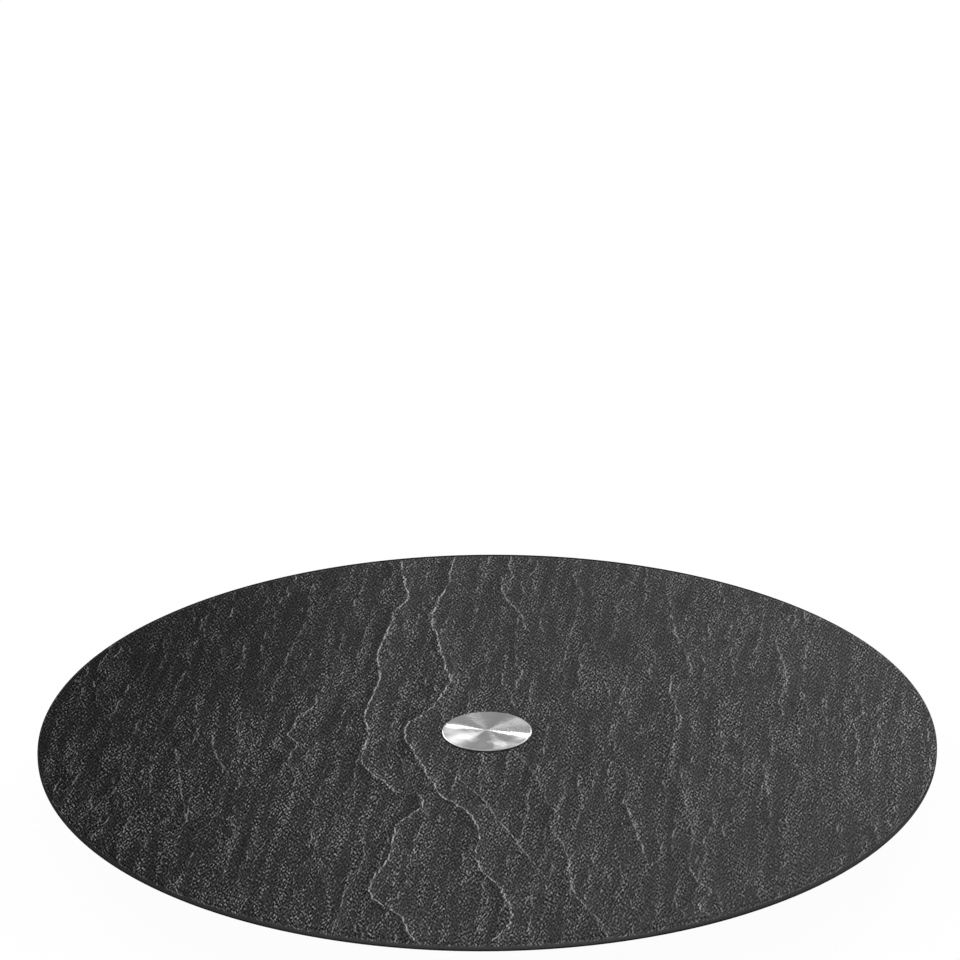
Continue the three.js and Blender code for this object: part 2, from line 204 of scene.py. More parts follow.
class Nodes:
    """Short calls that add nodes to the tree of a material or a world."""

    def __init__(self, owner):
        owner.use_nodes = True
        self.owner, self.tree = owner, owner.node_tree
        self.tree.nodes.clear()

    def add(self, kind, inputs=None, **settings):
        node = self.tree.nodes.new(kind)
        for name, value in settings.items():
            setattr(node, name, value)
        for name, value in (inputs or {}).items():
            self.feed(node.inputs[name], value)
        return node

    def feed(self, socket, value):
        if isinstance(value, bpy.types.NodeSocket):
            self.tree.links.new(value, socket)
        else:
            socket.default_value = value

    def math(self, operation, first, second=0.0, third=0.0, clamp=False):
        inputs = {0: first, 1: second, 2: third}
        return self.add("ShaderNodeMath", inputs, operation=operation, use_clamp=clamp).outputs[0]

    def times(self, first, second):
        return self.math("MULTIPLY", first, second)

    def plus(self, first, second, clamp=False):
        return self.math("ADD", first, second, clamp=clamp)

    def minus(self, first, second, clamp=False):
        return self.math("SUBTRACT", first, second, clamp=clamp)

    def centred(self, value):
        """A value between 0 and 1, moved so that its middle is 0."""
        return self.minus(value, 0.5)

    def total(self, start, *terms):
        """A number plus several values, each times its weight."""
        for value, weight in terms:
            start = self.math("MULTIPLY_ADD", value, weight, start)
        return start

    def vector(self, operation, first, second=(0, 0, 0)):
        node = self.add("ShaderNodeVectorMath", {0: first, 1: second}, operation=operation)
        return node.outputs["Value" if operation == "LENGTH" else "Vector"]

    def parts(self, vector):
        return self.add("ShaderNodeSeparateXYZ", {0: vector}).outputs

    def joined(self, x=0.0, y=0.0, z=0.0):
        return self.add("ShaderNodeCombineXYZ", {0: x, 1: y, 2: z}).outputs[0]

    def radius(self, vector):
        """Distance from the upright axis."""
        x, y = self.parts(vector)[:2]
        return self.vector("LENGTH", self.joined(x, y))

    def ramp(self, value, start, end, low=0.0, high=1.0, smooth=True):
        """Low up to the start, high from the end on."""
        kind = "SMOOTHSTEP" if smooth else "LINEAR"
        inputs = {"Value": value, "From Min": start, "From Max": end, "To Min": low, "To Max": high}
        return self.add("ShaderNodeMapRange", inputs, interpolation_type=kind, clamp=True).outputs["Result"]

    def spread(self, noise, low, high, smooth=True):
        """A noise value, of which most lie in the usual span, mapped onto a range."""
        return self.ramp(noise, *NOISE_SPAN, low, high, smooth)

    def noise(self, at, scale, detail=2.0, roughness=0.5, socket="Vector", kind="3D"):
        inputs = {socket: at, "Scale": scale, "Detail": detail, "Roughness": roughness}
        return self.add("ShaderNodeTexNoise", inputs, noise_dimensions=kind).outputs["Fac"]

    def line_noise(self, value, *shape):
        return self.noise(value, *shape, socket="W", kind="1D")

    def strokes(self, vector, scale, waves, order, lean):
        """Short strokes that lie side by side, across the leaning direction."""
        inputs = {"Vector": vector, "Scale": scale, "Frequency": waves, "Anisotropy": order, GABOR_LEAN: lean}
        return self.add("ShaderNodeTexGabor", inputs, gabor_type="2D").outputs["Value"]

    def curve(self, value, points, handle="AUTO", extend="EXTRAPOLATED"):
        """A curve through some points."""
        node = self.add("ShaderNodeFloatCurve", {"Value": value})
        node.mapping.extend = extend
        line = node.mapping.curves[0]
        ordered = sorted(points)
        line.points[0].location, line.points[1].location = ordered[0], ordered[-1]
        for point in ordered[1:-1]:
            line.points.new(*point)
        for point in line.points:
            point.handle_type = handle
        node.mapping.update()
        return node.outputs["Value"]

    def colour(self, noise, low, high):
        """A colour between two, by a noise value."""
        node = self.add("ShaderNodeValToRGB", {"Fac": noise})
        for stop, place, shade in zip(node.color_ramp.elements, NOISE_SPAN, (low, high)):
            stop.position = place
            stop.color = (*shade, 1.0)
        return node.outputs["Color"]

    def grey(self, value):
        return self.add("ShaderNodeCombineColor", {0: value, 1: value, 2: value}).outputs[0]

    def turned(self, vector, lean, drawn):
        """Coordinates turned by an angle, in which a pattern is drawn out along the second axis."""
        inputs = {"Vector": vector, "Angle": lean}
        leaning = self.add("ShaderNodeVectorRotate", inputs, rotation_type="Z_AXIS").outputs[0]
        return self.vector("MULTIPLY", leaning, (1.0, drawn, 0.0))

    def radial_tangent(self):
        return self.add("ShaderNodeTangent", direction_type="RADIAL", axis="Z").outputs[0]

    def bump(self, height, distance, strength=1.0):
        inputs = {"Height": height, "Distance": distance * MM, "Strength": strength}
        return self.add("ShaderNodeBump", inputs).outputs["Normal"]

    def surface(self, **inputs):
        """The material, with a Principled shader. An underscore in a name stands for a space."""
        named = {name.replace("_", " "): value for name, value in inputs.items()}
        shader = self.add("ShaderNodeBsdfPrincipled", named)
        self.add("ShaderNodeOutputMaterial", {"Surface": shader.outputs[0]})
        return self.owner


def material(name):
    """The nodes of a new material, and the piece's own coordinates in millimetres."""
    n = Nodes(bpy.data.materials.new(name))
    own = n.add("ShaderNodeTexCoord").outputs["Object"]
    return n, n.vector("MULTIPLY", own, (1 / MM,) * 3)


# Turned cap

CAP_ROUGHNESS, CAP_RING_ROUGHNESS, CAP_DULLING = 0.255, 0.05, 0.20
CAP_SHADE, CAP_RING_SHADE, CAP_SLOW_SHADE = 0.64, 0.10, 0.06
CAP_WAVES, CAP_RING_HEIGHT = 0.30, 0.004

# Spots dulled by handling: x, y, reach, softness and strength
CAP_DULL_SPOTS = [
    (-7.5, -8.5, 6.0, 2.0, 1.0),
    (-12.5, 0.5, 3.0, 1.5, 0.7),
    (4.8, -12.0, 2.2, 1.0, 1.0),
    (10.5, -10.0, 2.5, 1.5, 0.6),
]
DULL_SQUASH, DULL_WARP = 0.8, 7.0

# Painted highlights, lighter spots on the steel: x, y, turn of the long axis, half width, half length and
# strength
CAP_PAINTED_HIGHLIGHTS = [
    (7.0, -12.0, math.radians(112), 1.8, 7.0, 0.4),
    (-6.3, -6.6, math.radians(122), 1.8, 4.5, 0.35),
]
BRIGHT_WARP, BRIGHT_OUTER, BRIGHT_INNER = 5.0, 1.4, 0.6


# Slate picture under the glass

# Print on the glass, a painted highlight line at its end, and the rim's painted light and shade as (depth,
# share) points
PRINT_RADIUS, PRINT_OFFSET, PRINT_RUN_OVER, PRINT_SOFTNESS = 162.9, -2.6, 2.0, 0.4
HIGHLIGHT_INSET, HIGHLIGHT_WIDTH, HIGHLIGHT_CORE, HIGHLIGHT_STRENGTH = 0.6, 0.5, 0.1, 0.012
# Bare glass: near black at the top of the rim as painted shade, turning lower down to the grey of a painted
# reflection
BARE_GLASS, BARE_START, BARE_END = 0.010, 0.85, 1.25
RIM_DEPTH, RIM_BRIGHTEST = 3.8, 2.0
RIM_PAINTED_LIGHT = [
    (0.0, 1.0), (0.1, 1.03), (0.5, 1.35), (1.0, 1.55), (1.5, 1.68), (1.8, 1.70), (2.2, 1.42), (2.6, 1.1),
    (3.05, 0.4), (3.8, 0.2)]

# Brightness of the stone, and its tone from left to right, which is partly print and partly painted shade of
# light from the right
SLATE_WHITE = 0.083
SLATE_TONE_AND_SHADE = [(0.0, 0.175), (0.1, 0.215), (0.25, 0.345), (0.4, 0.475), (0.6, 0.55), (0.8, 0.635), (1.0, 0.74)]

# Clefts: strength, relief, (y, x) points from front to back, and for some the share of strength as (y, share)
CLEFTS = [
    (1.00, 1.0, [
        (-162, -24), (-152, -27.5), (-142, -30), (-135, -36), (-125, -40.5), (-114, -39), (-100, -34.5),
        (-85, -33), (-72, -31), (-64, -25.5), (-56, -23), (-50, -25), (-49, -32), (-42, -36), (-32, -42),
        (-24, -45), (-15, -45), (0, -43), (15, -45), (25, -43), (40, -41), (55, -40), (65, -41), (78, -40),
        (92, -37.5), (111, -34), (121, -30), (135, -32), (155, -33)]),
    (1.00, 1.0, [
        (-162, 0), (-152, 6), (-142, 7.5), (-128, 5), (-118, 2), (-110, -2.5), (-95, -4), (-81, -3),
        (-71, -5), (-60, -10), (-52, -16), (-40, -20), (-25, -24), (-12, -27.5), (0, -30), (8, -29),
        (14, -25), (25, -19), (35, -16), (45, -14), (55, -15.5), (70, -17), (85, -19), (100, -20.5),
        (112, -19.5), (122, -17.5), (132, -15), (145, -14), (160, -12)]),
    (0.45, 0.5, [(-115, 19), (-102, 15), (-88, 10), (-75, 5), (-60, 0), (-48, -5), (-30, -15)]),
    (0.80, 0.8, [
        (-159, 40), (-150, 37.5), (-140, 34), (-130, 30), (-120, 28), (-108, 27.5), (-95, 27), (-85, 24),
        (-75, 22), (-68, 25), (-58, 21), (-45, 19), (-30, 15), (-17, 10)],
        [(-159, 0.8), (-142, 0.55), (-132, 1.0), (-95, 1.0), (-82, 0.5), (-66, 0.6), (-56, 0.35),
         (-17, 0.45)]),
    (0.75, 0.5, [(-100, 54), (-88, 52.5), (-75, 51), (-60, 49), (-42, 50), (-30, 49)],
        [(-100, 0.9), (-72, 1.0), (-60, 0.7), (-48, 0.3), (-30, 0.4)]),
    (0.75, 0.8, [
        (-145, 76), (-138, 71), (-125, 75), (-118, 71), (-105, 69), (-85, 71), (-65, 69.5), (-50, 69),
        (-35, 65), (-18, 67), (-10, 65), (2, 69), (12, 70), (22, 69), (35, 67.5), (48, 69), (55, 72.5),
        (62, 75), (78, 72.5), (92, 71), (106, 70)],
        [(-145, 0.6), (-128, 1.0), (-112, 0.9), (-98, 0.25), (-84, 0.5), (-62, 0.7), (-48, 0.25), (-10, 0.25),
         (4, 0.8), (30, 1.0), (46, 0.7), (58, 0.25), (72, 0.3), (84, 1.0), (106, 0.9)]),
    (0.60, 0.6, [(90, 14), (100, 14), (110, 11), (120, 7), (130, 6), (140, 10), (150, 9), (160, 10)]),
    (0.55, 0.4, [(20, 10), (32, 9), (42, 11), (52, 12.5), (60, 10)]),
    (0.75, 0.6, [
        (-28, -70.5), (-18, -71), (-8, -69), (-1, -72.5), (5, -70.5), (15, -69), (22, -64), (32, -62.5)]),
    (0.50, 0.4, [(-28, -94), (-20, -97), (-10, -99), (2, -99.5)]),
    (0.45, 0.4, [(-68, -106), (-42, -109), (-28, -111)]),
    (0.45, 0.4, [(-70, -144), (-60, -140), (-50, -141)]),
    (0.45, 0.4, [(-48, -120), (-35, -120), (-20, -120.5)]),
    (0.55, 0.4, [(30, 108), (40, 110), (52, 111), (65, 110), (80, 109)]),
    (0.40, 0.4, [(-48, 99), (-35, 99.5), (-22, 100)]),
]
CLEFT_SPAN = 330.0
CLEFT_JAG, JAG_SCALE = 5.0, 0.22
CLEFT_FRAY, FRAY_SCALE = 1.6, 1.5
CLEFT_FADE = 9.0
CLEFT_LIGHT, CLEFT_GRIT = 0.36, 0.5
CLEFT_RELIEF, CLEFT_REACH = 1.1, 12.0
CLEFT_SIDES = [(0.0, 0.5), (0.25, 0.45), (0.46, 0.26), (0.50, 0.5), (0.53, 0.68), (0.7, 0.60), (1.0, 0.5)]

# Light lines are widest where the stone is chipped
CHIP_SCALE, LINE_WIDTH, THIN_LINE = 0.5, 0.55, 0.3

# Thin layers and the streaks along them
LAYER_LEAN, LAYER_STRETCH, LAYER_PITCH = math.radians(14), 0.55, 9.0
LAYER_FOLDING, FOLD_SCALE, LAYER_FRAY = 3.6, 0.12, 2.0
LAYERED_SCALE, LAYER_LIGHT, TERRACE_LIGHT, PIT_LIGHT = 0.08, 0.5, 0.5, 0.5
STREAK_STRETCH, STREAK_SCALE, STREAK_LIGHT = 0.20, 0.28, 1.1

# Grain: foreshortened dots and strokes, given as (lean, depth), and worm lines
GRAIN_STRETCH, GRAIN_LEAN, GRAIN_DRAWN = 0.43, math.radians(30), 0.6
GRIT_DOTS, DOT_SCALE = 0.63, 2.15
GRIT_STROKES = [(math.radians(-45), 0.65), (math.radians(45), 0.60)]
STROKE_SCALE, STROKE_WAVES, STROKE_ORDER = 0.64, 1.5, 0.75
GRIT_ROUGH, GRIT_SMOOTH, GRIT_TERRACE = 4.1, 2.2, 0.06
WORM_SCALE, WORM_WIDTH, WORM_MEAN, WORM_DEPTH = 1.05, 0.05, 0.3, 0.9
GLINT_LIMIT, GLINT_SOFTNESS = 1.7, 0.6


def along_span(points):
    """Points whose first numbers are millimetres across the plate, with those numbers from 0 to 1."""
    return [(at / CLEFT_SPAN + 0.5, value) for at, value in points]


def fray(n, at):
    """Fine jags of a broken edge."""
    return n.centred(n.noise(n.turned(at, GRAIN_LEAN, GRAIN_DRAWN), FRAY_SCALE, detail=1.0))


def slate_layers(n, flat, chipped):
    """Thin layers. Each breaks off at a jagged light edge, and the stone before it is darker and smoother."""
    def height_at(at):
        lay = n.turned(at, LAYER_LEAN, LAYER_STRETCH)
        folds = n.noise(lay, FOLD_SCALE, detail=6.0, roughness=0.68)
        folds = n.total(n.times(folds, LAYER_FOLDING), (fray(n, at), LAYER_FRAY / LAYER_PITCH))
        return lay, n.total(folds, (n.parts(lay)[0], 1 / LAYER_PITCH))

    line = n.joined(n.ramp(chipped, 0.42, 0.62, 0.0, LINE_WIDTH))
    lay, height = height_at(flat)
    before = height_at(n.vector("SUBTRACT", flat, line))[1]
    step = n.minus(n.math("FLOOR", height), n.math("FLOOR", before))
    layered = n.ramp(n.noise(lay, LAYERED_SCALE, detail=3.0, roughness=0.6), 0.40, 0.58)
    lines = n.math("MAXIMUM", step, 0.0, clamp=True)
    lines = n.times(lines, n.times(layered, LAYER_LIGHT))
    pits = n.times(n.math("MINIMUM", step, 0.0), layered)
    terrace = n.times(n.minus(0.5, n.math("FRACT", height)), layered)
    return lines, pits, terrace


def slate_specks(n, flat, grain, pits, terrace):
    """Fine grit of dots and crossing strokes, and bright worm lines where the stone is rough."""
    dots = n.noise(grain, DOT_SCALE, detail=0.0)
    grit = n.times(n.centred(dots), GRIT_DOTS)
    for lean, depth in GRIT_STROKES:
        stroke = n.strokes(flat, STROKE_SCALE, STROKE_WAVES, STROKE_ORDER, lean)
        grit = n.total(grit, (n.centred(stroke), depth))
    wander = n.math("ABSOLUTE", n.centred(n.noise(grain, WORM_SCALE, detail=1.0)))
    worms = n.minus(n.ramp(wander, WORM_WIDTH, 0.0), WORM_MEAN)
    streaked = n.turned(flat, LAYER_LEAN, STREAK_STRETCH)
    patches = n.noise(streaked, STREAK_SCALE, detail=3.0, roughness=0.6)
    rough = n.ramp(n.total(patches, (terrace, GRIT_TERRACE)), 0.40, 0.60, 0.3, 1.1)
    specks = n.times(n.times(worms, rough), WORM_DEPTH)
    specks = n.total(specks, (grit, n.total(GRIT_SMOOTH, (rough, GRIT_ROUGH))))
    specks = n.total(specks, (n.centred(patches), STREAK_LIGHT), (terrace, TERRACE_LIGHT), (pits, PIT_LIGHT))
    return specks, grit, dots


def slate_clefts(n, flat, y, chipped, lines):
    """Clefts: a bright broken edge, dark and smooth on its left, lighter on its right."""
    def torn(at):
        jag = n.noise(n.turned(at, GRAIN_LEAN, 1.0), JAG_SCALE, detail=6.0, roughness=0.72)
        return n.total(n.parts(at)[0], (n.centred(jag), CLEFT_JAG), (fray(n, at), CLEFT_FRAY))

    line = n.joined(n.ramp(chipped, 0.34, 0.60, LINE_WIDTH * THIN_LINE, LINE_WIDTH))
    here, before = torn(flat), torn(n.vector("SUBTRACT", flat, line))
    along = n.total(0.5, (y, 1 / CLEFT_SPAN))
    relief = 0.0
    for strength, depth, points, *fading in CLEFTS:
        route = n.curve(along, along_span([(at, x / CLEFT_SPAN + 0.5) for at, x in points]))
        centre = n.total(-CLEFT_SPAN / 2, (route, CLEFT_SPAN))
        low, high = points[0][0], points[-1][0]
        off_middle = n.math("ABSOLUTE", n.minus(y, (low + high) / 2))
        half, soft = (high - low) / 2, CLEFT_FADE / 2
        there = n.ramp(off_middle, half + soft, half - soft, 0.0, strength)
        passed, passed_before = (n.math("GREATER_THAN", reached, centre) for reached in (here, before))
        edge = n.minus(passed, passed_before, clamp=True)
        for shares in fading:
            edge = n.times(edge, n.curve(along, along_span(shares), extend="HORIZONTAL"))
        lines = n.math("MAXIMUM", lines, n.times(edge, there))
        off_edge = n.ramp(n.minus(here, centre), -CLEFT_REACH, CLEFT_REACH, smooth=False)
        side = n.centred(n.curve(off_edge, CLEFT_SIDES, "VECTOR"))
        relief = n.total(relief, (side, n.times(there, depth)))
    return n.times(lines, n.ramp(chipped, 0.36, 0.58, 0.35, 1.0)), relief


def slate_tone_and_shade(n, x, y):
    """Broad tone, partly print and partly painted shade: darker towards the left, and more so at the back
    left.
    """
    tone = n.curve(n.total(0.5, (x, 1 / CLEFT_SPAN)), SLATE_TONE_AND_SHADE)
    back_left = n.times(n.ramp(y, -10.0, 90.0), n.ramp(x, -25.0, -95.0, 0.0, -0.25))
    return n.total(tone, (tone, back_left))


def slate_contrast(n, x, y):
    """The specks stand out more on the dark side, and less at the back left and the front right."""
    contrast = n.plus(n.ramp(x, -150.0, 60.0, 1.45, 1.0), n.ramp(y, 0.0, 100.0, 0.0, -0.12))
    back_left = n.times(n.ramp(y, 10.0, 80.0), n.ramp(x, -40.0, -90.0, 0.0, -0.16))
    front_right = n.times(n.ramp(y, -30.0, -90.0), n.ramp(x, 30.0, 80.0, 0.0, -0.2))
    return n.plus(contrast, n.plus(back_left, front_right))


def slate_rim(n, shade, tone, place, x, drop):
    """The print ends in a painted highlight line; bare glass has painted shade and reflection, darker to the
    foot.
    """
    out = n.vector("LENGTH", n.vector("SUBTRACT", place, (0.0, PRINT_OFFSET, 0.0)))
    printed = n.ramp(out, PRINT_RADIUS + PRINT_SOFTNESS, PRINT_RADIUS - PRINT_SOFTNESS)
    off_highlight = n.math("ABSOLUTE", n.minus(out, PRINT_RADIUS - HIGHLIGHT_INSET))
    painted_highlight = n.ramp(off_highlight, HIGHLIGHT_WIDTH, HIGHLIGHT_CORE, 0.0, HIGHLIGHT_STRENGTH)
    # Painted reflection of the pale room in the bare glass, with painted shade towards the right
    painted_sheen = n.times(tone, n.ramp(x, 20.0, 110.0, SLATE_WHITE, SLATE_WHITE * 0.6))
    behind = n.ramp(drop, BARE_START, BARE_END)
    bare = n.total(BARE_GLASS, (n.minus(painted_sheen, BARE_GLASS), behind))
    shade = n.total(bare, (n.minus(n.plus(shade, painted_highlight), bare), printed))
    # Painted light and shade down the rim: lighter in a band some 2 mm down, darkest at its foot
    down = n.ramp(drop, 0.0, RIM_DEPTH, smooth=False)
    rim_light_and_shade = n.curve(down, [(depth / RIM_DEPTH, light / RIM_BRIGHTEST) for depth, light in RIM_PAINTED_LIGHT])
    return n.times(shade, n.times(rim_light_and_shade, RIM_BRIGHTEST))


def slate_graph(n, own):
    """The slate's colour as a number, and the dots of its grit."""
    drop = n.minus(PLATE.top, n.parts(own)[2])
    grow = n.total(1.0, (drop, PRINT_RUN_OVER / PLATE.radius))
    place = n.vector("MULTIPLY", own, n.joined(grow, grow, 0.0))
    x, y = n.parts(place)[:2]
    flat = n.vector("MULTIPLY", place, (1.0, GRAIN_STRETCH, 0.0))
    grain = n.turned(flat, GRAIN_LEAN, GRAIN_DRAWN)
    chipped = n.noise(grain, CHIP_SCALE, detail=2.0, roughness=0.6)
    lines, pits, terrace = slate_layers(n, flat, chipped)
    specks, grit, dots = slate_specks(n, flat, grain, pits, terrace)
    lines, relief = slate_clefts(n, flat, y, chipped, lines)
    specks = n.math("SMOOTH_MIN", n.total(specks, (relief, CLEFT_RELIEF)), GLINT_LIMIT, GLINT_SOFTNESS)
    specks = n.times(specks, slate_contrast(n, x, y))
    tone = slate_tone_and_shade(n, x, y)
    body = n.times(n.math("EXPONENT", specks), n.times(tone, SLATE_WHITE))
    # Cleft lines are dimmer towards the left, partly print and partly painted shade, as in the broad tone
    light = n.times(n.total(CLEFT_LIGHT, (grit, CLEFT_GRIT)), n.ramp(x, -150.0, 0.0, 0.75, 1.0))
    shade = n.total(body, (n.minus(light, body), lines))
    return slate_rim(n, shade, tone, place, x, drop), dots


def slate_material(name, coat):
    """Slate print under clear glass, a little off centre, so a hair of bare glass shows at the back as a
    painted dark edge.
    """
    n, own = material(name)
    shade, dots = slate_graph(n, own)
    return n.surface(
        Base_Color=n.grey(shade), Roughness=n.spread(dots, 0.42, 0.66, smooth=False),
        Normal=n.bump(dots, 0.12, 0.35), Specular_IOR_Level=0.0,
        Coat_Weight=coat, Coat_Roughness=0.06, Coat_IOR=1.5)


# Other materials. A noise has waves in a millimetre, detail and roughness.

def lacquer_material():
    """Black lacquer that backs the print, seen from below."""
    n, place = material("back_lacquer")
    cloud = n.noise(place, 0.08, 4.0, 0.6)
    peel = n.noise(place, 0.9)
    return n.surface(
        Base_Color=n.grey(n.spread(cloud, 0.010, 0.019)), Roughness=n.spread(cloud, 0.24, 0.36),
        Normal=n.bump(peel, 0.03, 0.5))


def cap_material():
    """Steel turned in fine circles, which draws light out into spokes. Handling has dulled it in patches."""
    n, place = material("turned_steel")
    x, y = n.parts(place)[:2]
    radius = n.radius(place)
    rings = n.line_noise(radius, 3.2, 3.0, 0.7)
    slow = n.line_noise(radius, 0.35)
    warp = n.centred(n.noise(place, 0.22, 3.0, 0.6))
    dull = 0.0
    for at_x, at_y, reach, soft, strength in CAP_DULL_SPOTS:
        off_y = n.times(n.minus(y, at_y), DULL_SQUASH)
        away = n.vector("LENGTH", n.joined(n.minus(x, at_x), off_y))
        spot = n.ramp(n.total(away, (warp, DULL_WARP)), reach + soft, reach - soft, 0.0, strength)
        dull = n.math("MAXIMUM", dull, spot)
    shade = n.total(CAP_SHADE, (slow, CAP_SLOW_SHADE), (rings, CAP_RING_SHADE))
    # Painted highlights: the steel's colour is made lighter in these spots
    for at_x, at_y, turn, wide, long, strength in CAP_PAINTED_HIGHLIGHTS:
        away = n.turned(n.vector("SUBTRACT", place, (at_x, at_y, 0.0)), turn, wide / long)
        away = n.total(n.vector("LENGTH", away), (warp, BRIGHT_WARP))
        spot = n.ramp(away, wide * BRIGHT_OUTER, wide * BRIGHT_INNER, 0.0, strength)
        shade = n.plus(shade, spot, clamp=True)
    rough = n.total(CAP_ROUGHNESS, (rings, CAP_RING_ROUGHNESS), (dull, CAP_DULLING))
    height = n.total(n.noise(place, 0.13, 1.0), (rings, CAP_RING_HEIGHT))
    return n.surface(
        Base_Color=n.grey(shade), Metallic=1.0, Roughness=rough, Anisotropic=1.0, Anisotropic_Rotation=0.25,
        Tangent=n.radial_tangent(), Normal=n.bump(height, CAP_WAVES))


def cap_edge_material():
    """Softly polished steel of the cap's bevel and side."""
    n, place = material("polished_edge")
    marks = n.noise(place, 1.2, 3.0, 0.6)
    return n.surface(
        Base_Color=n.grey(n.spread(marks, 0.50, 0.60)), Metallic=1.0, Roughness=n.spread(marks, 0.30, 0.40),
        Normal=n.bump(marks, 0.01, 0.5))


def turned_aluminium():
    """Satin aluminium with turning lines, for the outside of the base and the rotor."""
    n, place = material("turned_aluminium")
    reach = n.plus(n.radius(place), n.parts(place)[2])
    lines = n.line_noise(reach, 2.6, 3.0, 0.7)
    cloud = n.noise(place, 0.05, 4.0, 0.6)
    shade = n.total(0.50, (cloud, 0.06), (lines, 0.08))
    rough = n.total(0.26, (cloud, 0.12), (lines, 0.12))
    return n.surface(
        Base_Color=n.grey(shade), Metallic=1.0, Roughness=rough, Anisotropic=0.6, Anisotropic_Rotation=0.25,
        Tangent=n.radial_tangent(), Normal=n.bump(lines, 0.008, 0.6))


def cast_aluminium():
    """Blasted cast aluminium, for the inside of the base."""
    n, place = material("cast_aluminium")
    grain = n.noise(place, 1.4, 3.0, 0.65)
    cloud = n.noise(place, 0.06, 4.0, 0.6)
    shade = n.total(0.36, (cloud, 0.10), (grain, 0.10))
    return n.surface(
        Base_Color=n.grey(shade), Metallic=1.0, Roughness=n.spread(grain, 0.48, 0.66),
        Normal=n.bump(grain, 0.06, 0.7))


def plated_steel():
    """Zinc-plated fasteners: mottled crystals and a few fine scratches."""
    n, place = material("plated_steel")
    mottle = n.noise(place, 0.9, 4.0, 0.6)
    scratch = n.noise(n.vector("MULTIPLY", place, (6.0, 0.5, 0.5)), 1.0)
    shade = n.colour(mottle, (0.42, 0.43, 0.44), (0.60, 0.60, 0.58))
    rough = n.total(0.16, (mottle, 0.16), (scratch, 0.2))
    return n.surface(Base_Color=shade, Metallic=1.0, Roughness=rough, Normal=n.bump(scratch, 0.01, 0.4))


def bearing_steel():
    """Ground and polished bearing steel with a thin film of oil."""
    n, place = material("bearing_steel")
    ground = n.line_noise(n.radius(place), 4.0, 3.0, 0.7)
    film = n.noise(place, 0.12, 3.0)
    rough = n.total(0.05, (film, 0.10), (ground, 0.10))
    return n.surface(
        Base_Color=n.grey(n.total(0.50, (film, 0.10))), Metallic=1.0, Roughness=rough,
        Normal=n.bump(ground, 0.003, 0.5))


def black_rubber():
    """Moulded rubber: fine grain, a dull bloom and dust in the pores."""
    n, place = material("black_rubber")
    grain = n.noise(place, 2.2, 3.0, 0.6)
    bloom = n.noise(place, 0.12, 4.0, 0.6)
    shade = n.total(0.004, (grain, 0.006), (bloom, 0.014))
    return n.surface(
        Base_Color=n.grey(shade), Roughness=n.spread(bloom, 0.62, 0.84), Specular_IOR_Level=0.35,
        Normal=n.bump(grain, 0.05, 0.6))


def white_nylon():
    """Moulded nylon, a little translucent and uneven."""
    n, place = material("white_nylon")
    cloud = n.noise(place, 0.22, 4.0, 0.6)
    grain = n.noise(place, 2.6)
    return n.surface(
        Base_Color=n.colour(cloud, (0.70, 0.69, 0.64), (0.80, 0.79, 0.75)),
        Roughness=n.spread(cloud, 0.38, 0.55),
        Subsurface_Weight=0.15, Subsurface_Radius=(0.0012, 0.0011, 0.0009), Normal=n.bump(grain, 0.02, 0.5))


def clear_silicone():
    """Clear silicone of the thin gasket under the cap."""
    n, place = material("clear_silicone")
    haze = n.noise(place, 0.6, 3.0)
    return n.surface(
        Base_Color=n.grey(n.spread(haze, 0.55, 0.70)), Roughness=n.spread(haze, 0.22, 0.40),
        Transmission_Weight=0.55, IOR=1.41)


# Mesh making

def rounded(outline):
    """An outline of (radius, level) points. A third number rounds that corner to that radius."""
    points = []
    for index, corner in enumerate(outline):
        here = Vector(corner[:2])
        if len(corner) < 3:
            points.append(here)
            continue
        before = Vector(outline[index - 1][:2]) - here
        after = Vector(outline[(index + 1) % len(outline)][:2]) - here
        half = before.angle(after) / 2
        radius = min(corner[2], LARGEST_FILLET * min(before.length, after.length) * math.tan(half))
        setback = radius / math.tan(half)
        centre = here + (before.normalized() + after.normalized()).normalized() * radius / math.sin(half)
        start = here + before.normalized() * setback - centre
        end = here + after.normalized() * setback - centre
        turn = start.angle_signed(end)
        for step in range(FILLET_STEPS + 1):
            angle = -turn * step / FILLET_STEPS
            points.append(centre + Vector((
                start.x * math.cos(angle) - start.y * math.sin(angle),
                start.x * math.sin(angle) + start.y * math.cos(angle))))
    return [(p.x, p.y) for p in points]


def arc(centre, level, width, height, start, end, steps):
    """Points of an elliptic arc in the outline plane, between two angles in degrees."""
    angles = [math.radians(start + (end - start) * k / steps) for k in range(steps + 1)]
    return [(centre + width * math.cos(a), level + height * math.sin(a)) for a in angles]


def turned(outline, segments=RING_SEGMENTS, at=(0.0, 0.0)):
    """A closed outline turned about an upright axis."""
    bm = bmesh.new()
    turns = [2 * math.pi * k / segments for k in range(segments)]
    rings = []
    for radius, level in outline:
        if radius < TINY:
            rings.append([bm.verts.new((*at, level))])
        else:
            places = [(at[0] + radius * math.cos(t), at[1] + radius * math.sin(t), level) for t in turns]
            rings.append([bm.verts.new(place) for place in places])
    for lower, upper in zip(rings, rings[1:] + rings[:1]):
        if len(lower) == len(upper) == 1:
            continue
        for k in range(segments):
            order = ((lower, k), (lower, k + 1), (upper, k + 1), (upper, k))
            bm.faces.new(dict.fromkeys(row[index % len(row)] for row, index in order))
    bmesh.ops.recalc_face_normals(bm, faces=bm.faces)
    return bm


def ring(inner, size, edge, segments=RING_SEGMENTS):
    """A plain ring with softened edges, as large outside as a CAD node."""
    outer, foot, top = size
    corners = [(inner, foot, edge), (outer, foot, edge), (outer, top, edge), (inner, top, edge)]
    return turned(rounded(corners), segments)


